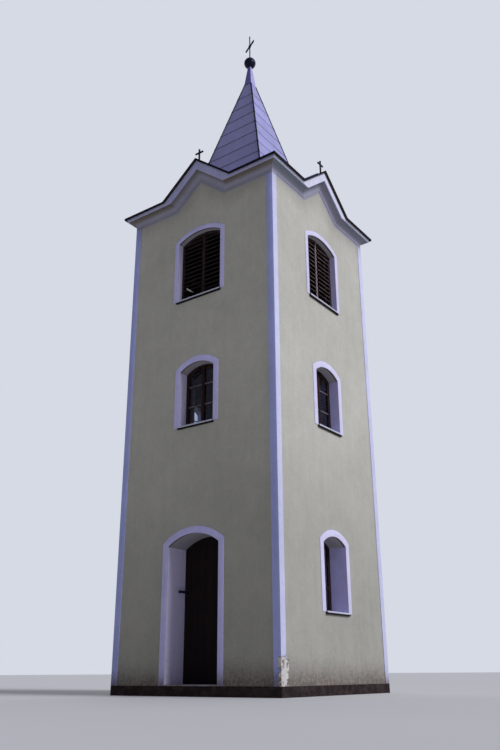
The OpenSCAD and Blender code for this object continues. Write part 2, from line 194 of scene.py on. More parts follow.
def discard(*objects):
    only(*objects)
    bpy.ops.object.delete()


def copied(source, name):
    """A copy with its own mesh."""
    copy = source.copy()
    copy.data = source.data.copy()
    bpy.context.scene.collection.objects.link(copy)
    return named(copy, name)


def twin(piece, name, matrix):
    """A copy moved by a matrix."""
    copy = copied(piece, name)
    copy.matrix_world = matrix @ copy.matrix_world
    settle(copy)
    return outwards(copy) if matrix.determinant() < 0 else copy


def one(name, objects):
    """Join objects into one piece."""
    whole = only(*objects)
    if len(objects) > 1:
        bpy.ops.object.join()
    return settle(named(whole, name))


def all_round(name, piece, sides=SIDES):
    """Repeat a piece that was made on the front, on these sides of the tower."""
    copies = [twin(piece, name, Matrix.Rotation(math.radians(90 * side), 4, "Z")) for side in sides]
    discard(piece)
    return one(name, copies)


def solid_copy(node, name):
    """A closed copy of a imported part, ready for modelling."""
    copy = copied(frame["nodes"][node], name)
    copy.parent = None
    for key in list(copy.keys()):
        del copy[key]
    edit(copy)
    bpy.ops.mesh.remove_doubles(threshold=0.00002)
    bpy.ops.mesh.tris_convert_to_quads(face_threshold=0.001, shape_threshold=3.14)
    bpy.ops.mesh.dissolve_limited(angle_limit=math.radians(0.3))
    bpy.ops.mesh.customdata_custom_splitnormals_clear()
    done()
    return copy


def dress(data, finish):
    data.materials.clear()
    data.materials.append(finish)


def placed(piece, finish, body, slot, *nodes):
    """Give a finished piece its material and its body, and hide the parts that it stands for."""
    dress(piece.data, finish)
    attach(piece, body)
    if nodes:
        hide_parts(*nodes)


def softened(node, name, finish, body, slot, *rounding):
    """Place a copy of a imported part, its edges rounded, in its stead."""
    placed(soften(solid_copy(node, name), *rounding), finish, body, slot, node)


def coat(finish, *nodes):
    """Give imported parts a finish."""
    for node in nodes:
        dress(frame["nodes"][node].data, finish)


def turned_box(name, middle, size, rotation=(0, 0, 0)):
    bpy.ops.mesh.primitive_cube_add(size=1.0, location=middle, rotation=rotation)
    piece = added(name)
    piece.scale = size
    return settle(piece)


def block(name, low, high):
    """A box between two corners."""
    low, high = Vector(low), Vector(high)
    return turned_box(name, (low + high) / 2, high - low)


def aimed(start, end, up):
    """A matrix whose X runs from start to end and whose Z is nearest to up."""
    along = (end - start).normalized()
    across = up.cross(along).normalized()
    turn = Matrix((along, across, along.cross(across))).transposed().to_4x4()
    return Matrix.Translation(start) @ turn @ Matrix.Diagonal(((end - start).length, 1, 1, 1))


# Finishes

class Value:
    """A number or colour that varies over a surface. Its arithmetic adds math nodes."""

    def __init__(self, nodes, socket):
        self.nodes = nodes
        self.socket = socket

    def __add__(self, other):
        return self.nodes.math("ADD", self, other)

    def __sub__(self, other):
        return self.nodes.math("SUBTRACT", self, other)

    def __rsub__(self, other):
        return self.nodes.math("SUBTRACT", other, self)

    def __mul__(self, other):
        return self.nodes.math("MULTIPLY", self, other)

    def __truediv__(self, other):
        return self.nodes.math("DIVIDE", self, other)

    def __abs__(self):
        return self.nodes.math("ABSOLUTE", self)

    __radd__ = __add__


class Nodes:
    """A node tree while it is put together."""

    def __init__(self, tree):
        self.tree = tree

    def join(self, source, target):
        if isinstance(source, Value):
            self.tree.links.new(source.socket, target)
        else:
            target.default_value = source

    def node(self, kind, inputs=(), output=0, **values):
        """Add a node, feed its inputs and return one of its outputs."""
        made = self.tree.nodes.new(kind)
        for key, value in values.items():
            setattr(made, key, value)
        for key, value in dict(inputs).items():
            self.join(value, made.inputs[key])
        return Value(self, made.outputs[output])

    def math(self, operation, *values):
        return self.node("ShaderNodeMath", enumerate(values), operation=operation)

    def step(self, value, start, end):
        """0 at start, 1 at end, smooth between."""
        return self.node("ShaderNodeMapRange", {"Value": value, "From Min": start, "From Max": end},
                         "Result", interpolation_type="SMOOTHSTEP")


class Finish(Nodes):
    """A node material: a base colour, and layers that are laid over it in order."""

    def __init__(self, name, base=None, roughness=0.8, metallic=0.0, specular=0.4):
        self.material = bpy.data.materials.new(name)
        self.material.use_nodes = True
        super().__init__(self.material.node_tree)
        self.shader = self.tree.nodes["Principled BSDF"].inputs
        self.shader["Roughness"].default_value = roughness
        self.shader["Metallic"].default_value = metallic
        self.shader["Specular IOR Level"].default_value = specular
        self.base = base
        self.relief = None
        self.place = self.node("ShaderNodeTexCoord", output="Object")
        self.x, self.y, self.z = (self.part(self.place, axis) for axis in "XYZ")

    def part(self, vector, axis):
        return self.node("ShaderNodeSeparateXYZ", {0: vector}, axis)

    def mixed(self, rough=None):
        """The material, its layers joined to the shader."""
        self.join(self.base, self.shader["Base Color"])
        if rough is not None:
            self.join(rough, self.shader["Roughness"])
        return self.material

    def grain(self, scale, stretch=(1, 1, 1), detail=3.0, rough=0.55, shift=(0, 0, 0), warp=0.0):
        place = self.node("ShaderNodeMapping", {"Vector": self.place, "Scale": stretch, "Location": shift})
        return self.node("ShaderNodeTexNoise", {"Vector": place, "Scale": scale, "Detail": detail,
                                                "Roughness": rough, "Distortion": warp})

    def dice(self, *values):
        """A steady random number for each set of whole numbers."""
        pack = self.node("ShaderNodeCombineXYZ", enumerate(values))
        return self.node("ShaderNodeTexWhiteNoise", {"Vector": pack}, "Value")

    def blend(self, amount, first, second, kind="MIX"):
        return self.node("ShaderNodeMix", {0: amount, 6: first, 7: second}, 2,
                         data_type="RGBA", blend_type=kind)

    def cover(self, amount, colour):
        """Lay a colour over the base, by an amount from 0 to 1."""
        self.base = self.blend(amount, self.base, colour)

    def toned(self, value, low, high):
        """The base times a factor that runs from low to high with a value."""
        factor = self.node("ShaderNodeMapRange", {"Value": value, "From Min": 0.3, "From Max": 0.7,
                                                  "To Min": low, "To Max": high})
        grey = self.node("ShaderNodeCombineColor", {0: factor, 1: factor, 2: factor})
        return self.blend(1.0, self.base, grey, "MULTIPLY")

    def tone(self, value, low, high):
        self.base = self.toned(value, low, high)

    def patch(self, colour, start, end, *grain, **values):
        """Lay a colour over the base in the patches where a grain is high."""
        self.cover(self.step(self.grain(*grain, **values), start, end), colour)

    def mottle(self, low, high, *grain, **values):
        """Vary the base's brightness with a grain."""
        self.tone(self.grain(*grain, **values), low, high)

    def bump(self, height, strength, distance):
        inputs = {"Height": height, "Strength": strength, "Distance": distance}
        if self.relief:
            inputs["Normal"] = self.relief
        self.relief = self.node("ShaderNodeBump", inputs)
        self.join(self.relief, self.shader["Normal"])

    def near(self, value, middle, reach, soft):
        """1 within reach of a middle value, fading over soft."""
        return self.step(abs(value - middle), reach + soft, reach)

    def reach(self):
        """Distance from the tower's middle, square to the nearest wall."""
        return self.math("MAXIMUM", abs(self.x), abs(self.y))

    def along(self):
        """Distance along the nearest wall, from its middle."""
        return self.math("MINIMUM", abs(self.x), abs(self.y))

    def face_out(self):
        """1 on the wall's outer faces and on what stands out from them, 0 in the reveals and inside."""
        return self.step(self.reach(), WALL - 0.004, WALL - 0.001)

    def inside(self):
        """1 behind the door and the window frames."""
        upper = self.step(self.z, GROUND_TOP - 0.002, GROUND_TOP + 0.002)
        limit = WALL - INSIDE_GROUND + upper * (INSIDE_GROUND - INSIDE_UPPER)
        return self.step(self.reach() - limit, 0.004, -0.004)

    def looking(self, axis, start, end):
        """0 to 1 as the surface turns along an axis."""
        return self.step(self.part(self.node("ShaderNodeNewGeometry", output="Normal"), axis), start, end)

    def looking_down(self):
        return self.looking("Z", -0.20, -0.75)

    def looking_sunny(self):
        return self.looking("X", 0.6, 0.9)

    def painted_sunlight(self, paint, sunny):
        """A paint, or its paler copy as painted sunlight on what faces the sunny side."""
        return self.blend(self.looking_sunny(), paint, sunny or paint)

    def sunny_side(self):
        """1 on the side of the tower that gets the most sun."""
        return self.step(self.x - abs(self.y), -0.004, 0.004)

    def below_cornice(self):
        """How far the wall's surface is under the line that the cornice follows."""
        roof = settings("roof")
        fall = math.tan(roof.gable_pitch)
        rake = CORNICE + roof.gable_half * fall - self.along() * fall
        return self.math("MAXIMUM", CORNICE - self.z, (rake - self.z) * math.cos(roof.gable_pitch))


def paint_cove_shade(made, look):
    """Painted shade on the upper part of the cove, which looks down, paler and bluer on the sunny side, and a
    darker painted shadow under the fascia.
    """
    down = made.looking("Z", -0.35, -1.00) * made.step(made.reach(), WALL + 0.012, WALL + 0.030)
    # painted shade on the faces of the cove that look down
    made.cover(down * 0.9, made.blend(made.sunny_side(), look.cove_shade, look.cove_painted_shade_sunny))
    # painted shadow under the fascia
    made.cover(down * made.step(made.reach(), EAVE - 0.085, EAVE - 0.030) * 0.55, look.damp_dark_and_shade)


def shade_wall(made, look):
    """Painted sunlight on the reveals that face the sunny side, painted shade on the soffits with a painted
    shadow line at their outer edge, painted shade under the cornice, and a strip under the cove that is
    partly painted shade.
    """
    # painted sunlight on the reveals that face the sunny side
    made.cover(made.looking_sunny() * (1.0 - made.face_out()), look.reveal)
    down = made.looking_down()
    # painted shade: an olive tint on the faces that look down
    made.cover(down * 0.75, look.soffit_painted_shade)
    # painted shadow: a dark line along the outer edge of the soffits
    made.cover(down * made.near(made.reach(), WALL - 0.014, 0.012, 0.006) * 0.85, look.damp_dark_and_shade)
    below = made.below_cornice()
    # painted shade on the wall just under the cornice
    made.cover(made.face_out() * made.step(below, 0.50, -0.10) * 0.30, look.damp_dark_and_shade)
    # a painted strip under the cove, darker than the wall, partly painted shade
    made.cover(made.face_out() * made.step(below, COVE_BAND + 0.006, COVE_BAND) * 0.85, look.cove_band_and_shade)


def damp_foot(made, look, height):
    """A ragged damp stain that rises from the plinth, with specks of dirt above it."""
    ragged = made.grain(1.3, (1, 1, 0.4)) * 0.30 + made.grain(9, (1, 1, 0.5), detail=5, rough=0.7) * 0.16
    damp = made.face_out() * made.step(made.z - (PLINTH - 0.23) - ragged, height, 0.0)
    dirt = made.blend(made.step(made.grain(22, detail=5), 0.35, 0.65), look.damp, look.damp_dark_and_shade)
    made.cover(damp * damp * 0.72, dirt)
    specks = made.step(made.grain(34, (1, 1, 0.6), detail=5, rough=0.75), 0.57, 0.66)
    made.cover(specks * made.step(made.z, PLINTH + height * 1.6, PLINTH + 0.02) * 0.45, look.damp_dark_and_shade)


def flake_corner(made, look):
    """Paint and render flaked off at the foot of the front right corner, with a painted shadow along the torn
    edge.
    """
    corner = (made.near(made.y, -WALL + 0.08, 0.09, 0.22) * made.step(made.x, WALL - 0.10, WALL - 0.04)
              * made.step(made.z, PLINTH + 0.86, PLINTH + 0.34))
    torn = made.grain(6.5, rough=0.6, shift=(5, 5, 0)) * 0.5 + corner * 0.5
    chips = made.step(torn, 0.700, 0.706)
    bare = made.step(made.grain(13, detail=5, rough=0.7), 0.50, 0.60)
    made.cover(chips, made.blend(bare, look.bare, look.damp))
    # painted shadow: a dark rim along the torn edge of the flakes
    made.cover((made.step(torn, 0.682, 0.694) - chips) * 0.75, look.damp_dark_and_shade)
    made.bump(chips * -1.0, 0.7, 0.006)


def weathered_render(name, paint, damp_height=0.40, streaks=0.03, painted_shade_below=0.03,
                     reveal=None, sunny=None, cove=False):
    """Lime render with a fine roughcast, rain streaks, a damp foot and flaking at one corner, and painted
    light and shade: paler on the sunny side, darker low down, shaded undersides and eaves, and dark insides.
    """
    look = settings("finishes")
    made = Finish(name, roughness=0.9, specular=0.25)
    # painted sunlight: a paler copy of the paint on outer faces that look to the sunny side
    made.base = made.blend(made.face_out(), reveal or paint, made.painted_sunlight(paint, sunny))
    made.mottle(0.92, 1.06, 0.55, detail=4)
    made.mottle(0.945, 1.045, 4.5, detail=5, rough=0.65, shift=(3, 1, 7))
    made.mottle(1 - streaks, 1 + streaks / 2, 9, (1, 1, 0.05), detail=4)
    if cove:
        paint_cove_shade(made, look)
    else:
        shade_wall(made, look)
    made.mottle(0.94, 1.06, 28, detail=4, rough=0.7)
    # painted shade: the outer faces grow darker towards the bottom and a little paler towards the top
    higher = made.step(made.z, -4.6, 10.8)
    made.cover(made.face_out(), made.toned(higher, 1 - 2.2 * painted_shade_below, 1 + 0.3 * painted_shade_below))
    damp_foot(made, look, damp_height)
    flake_corner(made, look)
    # painted shade: the faces inside take the dark inside colour
    made.cover(made.inside(), look.inside)
    made.bump(made.grain(3.2), 0.5, 0.012)
    made.bump(made.grain(85, detail=4, rough=0.7), 0.55, 0.0045)
    return made.mixed()


def painted_sheet(name, paint, sunny=None):
    """Sheet metal laid in level courses, each sheet a little different, darker just under each lap, with
    painted sunlight on the sunny side where a sunny paint is given, and painted shade on faces that look
    down.
    """
    look = settings("finishes")
    roof = settings("roof")
    made = Finish(name, roughness=0.48, metallic=0.45, specular=0.5)
    # painted sunlight: a paler copy of the paint on faces that look to the sunny side, where one is given
    made.base = made.painted_sunlight(paint, sunny)
    course = (made.z - roof.first_lap) / roof.course
    facing = made.math("SIGN", abs(made.x) - abs(made.y))
    made.tone(made.dice(made.math("FLOOR", course), facing, made.math("SIGN", made.x)), 0.955, 1.03)
    made.mottle(0.92, 1.06, 1.6, detail=4)
    made.mottle(0.95, 1.04, 16, (1, 1, 0.06), detail=5)
    # darker just under each lap
    under = made.step(made.math("FRACT", course), 0.80, 1.0)
    made.tone(under * made.grain(7, (1, 1, 0.2)), 1.05, 0.90)
    made.patch(look.spire_dull, 0.60, 0.76, 5, detail=6, rough=0.7)
    # painted shade: faces that look down, under the laps and at the foot, take the dark inside colour
    made.cover(made.looking_down(), look.inside)
    made.bump(made.grain(2.6, detail=2), 0.5, 0.010)
    made.bump(made.grain(45), 0.2, 0.001)
    return made.mixed(made.grain(6, detail=4) * 0.20 + 0.42)


def roof_paint():
    """Dull sheet with a dark turned edge over a painted board, paler as painted sunlight on the sunny side,
    and dark timber underneath, darkened as painted shade.
    """
    look = settings("finishes")
    roof = settings("roof")
    made = Finish("roof sheet", look.roof, roughness=0.7, specular=0.1)
    made.mottle(0.86, 1.10, 1.4, detail=5)
    made.mottle(0.92, 1.06, 11, detail=5, rough=0.7)
    rake = RIDGE - made.along() * math.tan(roof.gable_pitch)
    below = made.math("MAXIMUM", rake, roof.eave_level) - made.z
    # painted sunlight: the board is paler where it faces the sunny side
    board = made.painted_sunlight(look.fascia, look.fascia_painted_sunlit)
    edge = made.blend(made.step(below, 0.045, 0.049), look.roof_edge, board)
    made.cover(made.step(made.reach(), EAVE - 0.004, EAVE - 0.001), edge)
    # painted shade: the undersides take the dark inside colour
    made.cover(made.looking_down(), look.inside)
    made.bump(made.grain(3.0), 0.4, 0.008)
    made.bump(made.grain(60), 0.25, 0.001)
    return made.mixed()


def timber(name, paint, worn, along, board=0.0, roughness=0.72, rubbed=None, painted_sunlit_stile=None):
    """Stained wood with its grain along an axis. It may have boards, rubbed edges, or painted sunlight on a
    stile, broken by painted shadows of the slats.
    """
    made = Finish(name, roughness=roughness, specular=0.25)
    stretch = [0.07 if axis == along else 1.0 for axis in "XYZ"]
    fibre = made.grain(55, stretch, detail=6, rough=0.65, warp=0.4)
    made.base = made.blend(made.step(fibre, 0.35, 0.72), paint, worn)
    if board:
        made.tone(made.dice(made.math("FLOOR", (made.x - LEAF_LOW.x) / board), 3.0, 1.0), 0.86, 1.16)
    made.mottle(0.80, 1.18, 3.0, detail=4)
    made.mottle(0.86, 1.12, 14, [1.5 * s for s in stretch], detail=4)
    # rubbed front edges of the slats; on the slats along Y the edge colour also carries painted sunlight
    if rubbed:
        arris = made.blend(made.step(fibre, 0.30, 0.70), worn, rubbed)
        made.cover(made.step(made.reach(), SLAT_FRONT - 0.011, SLAT_FRONT - 0.008), arris)
    # painted sunlight on the stile on the sunny side, its edge waving at the slat pitch as painted slat
    # shadows
    if painted_sunlit_stile:
        wander = made.math("SINE", made.z * (2 * math.pi / SLAT_PITCH)) * 0.012
        wander = wander + (made.grain(38, detail=5) - 0.5) * 0.05
        stile = made.step(made.x, WALL - 0.30, WALL - 0.25) * made.near(made.y + wander, 0.0, 0.015, 0.010)
        made.cover(made.looking_sunny() * stile * 0.9, painted_sunlit_stile)
    made.bump(fibre, 0.5, 0.0012)
    made.bump(made.grain(6, stretch), 0.3, 0.003)
    return made.mixed()


def iron_paint(name):
    """Dark paint with patches of rust."""
    look = settings("finishes")
    made = Finish(name, look.iron, roughness=0.5, metallic=0.25)
    made.mottle(0.8, 1.25, 30, detail=4)
    made.patch(look.rust, 0.60, 0.74, 14, detail=6, rough=0.7)
    made.bump(made.grain(70, detail=4), 0.35, 0.0012)
    return made.mixed(made.grain(25) * 0.35 + 0.38)


def fine_paint(name, paint, roughness=0.6, metallic=0.0, sunny=None):
    """Painted board or folded sheet with runs, dust and slight waves."""
    made = Finish(name, roughness=roughness, metallic=metallic, specular=0.45)
    # painted sunlight: a paler copy of the paint on faces that look to the sunny side, where one is given
    made.base = made.painted_sunlight(paint, sunny)
    made.mottle(0.92, 1.05, 2.2, detail=5)
    made.mottle(0.94, 1.04, 20, (1, 1, 0.08), detail=4)
    made.patch(settings("finishes").damp, 0.62, 0.78, 9, detail=6, rough=0.72)
    made.bump(made.grain(5), 0.3, 0.004)
    made.bump(made.grain(80), 0.2, 0.001)
    return made.mixed()


def dark_stone(name, paint, worn):
    made = Finish(name, paint, roughness=0.92, specular=0.25)
    made.patch(worn, 0.38, 0.66, 7, detail=6, rough=0.7)
    made.mottle(0.72, 1.28, 40, detail=5)
    made.bump(made.grain(6, detail=5), 0.8, 0.020)
    made.bump(made.grain(60, detail=4, rough=0.7), 0.6, 0.004)
    return made.mixed()


def ball_sheet():
    look = settings("finishes")
    made = Finish("ball sheet", look.ball, roughness=0.45, metallic=0.25, specular=0.25)
    made.mottle(0.8, 1.2, 9, detail=5)
    made.patch(look.rust, 0.6, 0.75, 22, detail=6)
    made.bump(made.grain(16), 0.35, 0.003)
    return made.mixed()


def window_glass():
    """Old clear panes with a film of dust."""
    made = Finish("window panes", settings("finishes").glass, roughness=0.05, specular=0.5)
    made.shader["Transmission Weight"].default_value = 1.0
    made.shader["IOR"].default_value = 1.45
    film = made.grain(5, detail=5, rough=0.6)
    made.tone(film, 1.0, 0.82)
    made.bump(made.grain(3, detail=2), 0.25, 0.002)
    return made.mixed(made.step(film, 0.45, 0.8) * 0.10 + 0.03)


# Settings

def linear(level):
    """A screen's level from 0 to 255 as an amount of light from 0 to 1."""
    level /= 255
    return level / 12.92 if level <= 0.04045 else ((level + 0.055) / 1.055) ** 2.4


def paint(name, text, *levels):
    """A colour, its default given as red, green and blue from 0 to 255."""
    return FloatVectorProperty(name=name, description=text, subtype="COLOR", size=4,
                               min=0.0, max=1.0, default=(*map(linear, levels), 1.0))


def length(name, text, value):
    return FloatProperty(name=name, description=text, default=value, min=0.0, max=20.0,
                         unit="LENGTH", subtype="DISTANCE", precision=4)


def angle(name, text, value):
    return FloatProperty(name=name, description=text, default=value, subtype="ANGLE")


class BellTowerFinishes(bpy.types.PropertyGroup):
    wall: paint("Wall", "Render of the walls", 193, 190, 175)
    trim: paint("Trim", "Bands round the openings and reveals", 212, 207, 250)
    # painted sunlight: a paler copy of the trim for faces that look to the sunny side
    trim_painted_sunlit: paint("Sunny trim", "Bands round the openings on the sunny side", 224, 219, 242)
    # painted sunlight: a pale tone on the reveals that face the sunny side
    reveal: paint("Sunny reveals", "Reveals on the side that gets the most sun", 238, 230, 255)
    # painted shade: the corner strips take a darker, bluer copy of the trim
    corner: paint("Corner strips", "Strips up the four corners", 181, 187, 239)
    # painted sunlight: a paler copy of the corner strips for the sunny side
    corner_painted_sunlit: paint("Sunny corner strips", "Corner strips on the sunny side", 213, 213, 236)
    # painted shade: an olive tint for the undersides
    soffit_painted_shade: paint("Soffit", "Undersides of the arches", 146, 141, 120)
    damp: paint("Damp", "Damp stain on the render", 128, 112, 100)
    # real damp, and also painted shade and shadow under the eaves, along soffit edges and round the flakes
    damp_dark_and_shade: paint("Dark damp", "Darkest part of the damp stain, also painted shade and shadow", 66, 54, 48)
    # painted shade: the cove's render is darker than the wall's, for the shade under the eaves
    cove: paint("Cove", "Render of the coved cornice", 156, 154, 169)
    # a painted strip under the cove, darker than the wall as painted shade under the eaves
    cove_band_and_shade: paint("Cornice band", "Painted strip of wall under the cove", 146, 144, 160)
    # painted shade on the upper part of the cove, which looks down
    cove_shade: paint("Cove shade", "Painted shade on the upper part of the cove", 106, 97, 78)
    # painted shade on the upper part of the cove on the sunny side, paler and bluer
    cove_painted_shade_sunny: paint("Sunny cove shade", "Upper part of the cove on the sunny side", 122, 128, 138)
    # dusty masonry and timber, darkened further as painted shade inside and under the sheet
    inside: paint("Inside", "Bare dusty masonry and timber inside, darkened as painted shade", 58, 52, 48)
    bare: paint("Bare render", "Render where the paint has flaked", 214, 210, 200)
    spire: paint("Spire sheet", "Sheet of the spire", 170, 167, 213)
    # painted shade: the cap sheet is darker than the spire's
    cap: paint("Cap sheet", "Sheet of the cap under the ball", 124, 121, 184)
    # painted sunlight: a paler copy of the cap sheet for the sunny side
    cap_painted_sunlit: paint("Sunny cap sheet", "Sheet of the cap on the sunny side", 178, 174, 220)
    spire_dull: paint("Dull sheet", "Dull patches on the spire", 124, 119, 168)
    roof: paint("Roof sheet", "Sheet of the eaves and gables", 122, 121, 160)
    roof_edge: paint("Roof edge", "Turned edge of the roof sheet", 14, 14, 27)
    fascia: paint("Fascia", "Painted fascia boards", 186, 186, 222)
    # painted sunlight: a paler copy of the fascia for the sunny side
    fascia_painted_sunlit: paint("Sunny fascia", "Fascia boards on the sunny side, paler as painted sunlight", 226, 225, 240)
    door: paint("Door", "Stain of the door planks", 20, 11, 11)
    door_worn: paint("Worn door", "Worn grain of the door planks", 33, 21, 20)
    joinery: paint("Joinery", "Stain of the window frames", 36, 18, 18)
    joinery_worn: paint("Worn joinery", "Worn grain of the window frames", 60, 36, 33)
    # painted highlight: pale glazing bars, as if lit
    bar: paint("Glazing bars", "Painted highlight on the glazing bars", 172, 162, 172)
    louvre: paint("Louvres", "Stain of the louvres", 30, 18, 19)
    louvre_worn: paint("Worn louvres", "Worn grain of the louvres", 64, 46, 42)
    rubbed: paint("Slat edges", "Rubbed front edges of the slats", 62, 50, 46)
    # rubbed edges with painted sunlight: much paler than the other slat edges
    rubbed_painted_sunlit: paint("Sunny slat edges", "Rubbed slat edges with painted sunlight, on the sunny sides", 142, 120, 112)
    # dirt and painted shade: near-black slat faces; the sill drips take it as painted shadow
    slat: paint("Slats", "Faces of the slats, black with dirt", 15, 10, 10)
    # painted sunlight on the louvres' stile on the sunny side
    painted_sunlit_stile: paint("Painted sunlit stile", "Stile on the sunny side", 148, 132, 140)
    iron: paint("Iron", "Painted iron", 24, 25, 36)
    rust: paint("Rust", "Rust on the iron", 74, 46, 36)
    ball: paint("Ball", "Dark sheet of the ball", 13, 18, 46)
    sill: paint("Sills", "Folded sheet of the sills", 218, 218, 232)
    # a dark brown plinth
    plinth: paint("Plinth", "Dark plinth", 36, 25, 24)
    plinth_worn: paint("Worn plinth", "Worn patches of the plinth", 62, 49, 46)
    threshold: paint("Threshold", "Stone of the threshold", 168, 165, 164)
    boards: paint("Floor boards", "Sawn boards of the floors", 112, 88, 66)
    glass: paint("Glass", "Tint of the panes", 232, 238, 250)


class BellTowerRoof(bpy.types.PropertyGroup):
    apex: length("Apex", "Level where the spire faces would meet", 14.247)
    slope: FloatProperty(name="Slope", description="Half width of the spire for each metre of drop",
                         default=0.249, min=0.1, max=0.6)
    foot: length("Foot", "Level where the lowest course starts, under the roof", 10.16)
    first_lap: length("First lap", "Level of the lowest lap", 10.303)
    course: length("Course", "Height of a course of sheet", 0.386)
    lap: length("Lap", "How far the folded lap stands out", 0.006)
    lap_height: length("Lap height", "Height of the folded lap", 0.014)
    hip_radius: length("Hip roll", "Radius of the rolls on the arrises", 0.019)
    eave_level: length("Eave level", "Level of the eaves on the roof's upper side", 9.745)
    skirt_pitch: angle("Skirt pitch", "Slope of the skirt roof", math.radians(25))
    gable_pitch: angle("Gable pitch", "Slope of the gable roofs", math.radians(39.6))
    gable_half: length("Gable half width", "Half width of the gable on the cornice line", 0.641)
    seam: length("Seam height", "Height of a standing seam", 0.014)
    seam_pitch: length("Seam spacing", "Spacing of the standing seams", 0.42)


class BellTowerJoinery(bpy.types.PropertyGroup):
    sill: length("Sill thickness", "Thickness of the sheet sills", 0.022)
    frame: length("Frame", "Visible width of the fixed frame", 0.026)
    stile: length("Stile", "Width of a casement's stile", 0.036)
    bar: length("Glazing bar", "Width of a glazing bar", 0.021)
    depth: length("Frame depth", "Depth of the fixed frame", 0.060)
    leaf_depth: length("Leaf depth", "Depth of a casement in front of the glass", 0.022)
    rows: IntProperty(name="Panes", description="Panes in height", default=3, min=1, max=6)
    edge: length("Edge", "Rounding of the joinery's edges", 0.003)
    planks: IntProperty(name="Planks", description="Planks of the door", default=7, min=3, max=12)
    groove: length("Groove", "Width of the grooves between planks", 0.012)
    slat_lean: angle("Slat lean", "How far a slat may have turned", math.radians(2.0))


class BellTowerStudio(bpy.types.PropertyGroup):
    eye: FloatVectorProperty(name="Camera", description="Place of the camera", size=3,
                             subtype="TRANSLATION", unit="LENGTH", default=(8.658, -12.088, 0.349))
    yaw: angle("Yaw", "Turn of the camera from the Y axis", -0.62427)
    tilt: angle("Tilt", "Upward tilt of the camera", 0.37433)
    roll: angle("Roll", "Roll of the camera", -0.00552)
    lens: FloatProperty(name="Lens", description="Focal length", default=36.455, min=10, max=200)
    key: FloatProperty(name="Key light", description="Strength of the key light", default=2.45, min=0)
    sky: FloatProperty(name="Room light", description="Strength of the light all round", default=0.21, min=0)
    room: paint("Room", "Colour of the light all round", 208, 214, 244)
    backdrop: paint("Backdrop", "Colour of the plain backdrop", 214, 218, 229)
    floor: paint("Floor", "Pale studio floor", 213, 211, 206)


# Operators

class BellTowerStep(bpy.types.Operator):
    bl_options = {"REGISTER", "UNDO"}


class BELLTOWER_OT_studio(BellTowerStep):
    """Set up the floor, the lights and the camera"""
    bl_idname = "belltower.studio"
    bl_label = "Studio"

    def execute(self, context):
        studio = settings("studio")
        self.floor(studio)
        self.room(studio)
        self.key(studio)
        self.camera(studio)
        return {"FINISHED"}

    def floor(self, studio):
        bpy.ops.mesh.primitive_circle_add(vertices=96, radius=900.0, fill_type="NGON", location=(0, 0, 0))
        floor = added("studio_floor")
        made = Finish("pale floor", studio.floor, roughness=0.9, specular=0.2)
        made.mottle(0.985, 1.015, 0.4)
        dress(floor.data, made.mixed())

    def room(self, studio):
        """Soft light all round, brighter behind the tower in the main view."""
        world = bpy.data.worlds.new("studio")
        bpy.context.scene.world = world
        world.use_nodes = True
        room = Nodes(world.node_tree)
        light = room.tree.nodes["Background"]
        light.inputs["Color"].default_value = studio.room
        light.inputs["Strength"].default_value = studio.sky
        place = room.node("ShaderNodeTexCoord", output="Generated")
        ahead = (math.sin(studio.yaw), math.cos(studio.yaw), 0.0)
        along = room.node("ShaderNodeVectorMath", {0: place, 1: ahead}, "Value", operation="DOT_PRODUCT")
        backdrop = room.node("ShaderNodeBackground", {"Color": studio.backdrop})
        both = {0: room.step(along, 0.15, 0.60), 1: Value(room, light.outputs[0]), 2: backdrop}
        room.join(room.node("ShaderNodeMixShader", both), room.tree.nodes["World Output"].inputs["Surface"])
        bpy.context.scene.view_settings.view_transform = "Standard"

    def key(self, studio):
        bpy.ops.object.light_add(type="SUN", location=(20, 8, 20))
        key = bpy.context.active_object
        key.name = "key_light"
        key.data.energy = studio.key
        key.data.angle = math.radians(24)
        key.data.color = (0.86, 0.88, 1.0)
        towards = Vector((0.80, 0.07, 0.56))
        key.rotation_euler = towards.to_track_quat("Z", "Y").to_euler()

    def camera(self, studio):
        bpy.ops.object.camera_add(location=studio.eye)
        camera = bpy.context.active_object
        camera.name = "photo_camera"
        yaw, tilt, roll = studio.yaw, studio.tilt, studio.roll
        ahead = Vector((math.sin(yaw) * math.cos(tilt), math.cos(yaw) * math.cos(tilt), math.sin(tilt)))
        level = ahead.cross(UP).normalized()
        up = level.cross(ahead)
        right = math.cos(roll) * level + math.sin(roll) * up
        up = -math.sin(roll) * level + math.cos(roll) * up
        camera.rotation_mode = "QUATERNION"
        camera.rotation_quaternion = Matrix((right, up, -ahead)).transposed().to_quaternion()
        camera.data.sensor_width = 36.0
        camera.data.sensor_fit = "AUTO"
        camera.data.lens = studio.lens
        camera.data.clip_end = 2000.0
        bpy.context.scene.camera = camera


class BELLTOWER_OT_walls(BellTowerStep):
    """Finish the walls, the plinth, the threshold and the glass"""
    bl_idname = "belltower.walls"
    bl_label = "Walls"

    def execute(self, context):
        look = settings("finishes")
        walls = [name for name in frame["nodes"] if "_wall_" in name]
        # painted shade: the wall render grows darker towards the bottom
        render = weathered_render("wall render", look.wall, damp_height=0.62, streaks=0.035,
                                  painted_shade_below=0.12, reveal=look.trim)
        coat(render, *walls)
        coat(dark_stone("plinth stain", look.plinth, look.plinth_worn), "plinth")
        coat(dark_stone("threshold stone", look.threshold, look.damp), "door_threshold")
        coat(window_glass(), "ground_window_glass", "middle_window_glass")
        return {"FINISHED"}


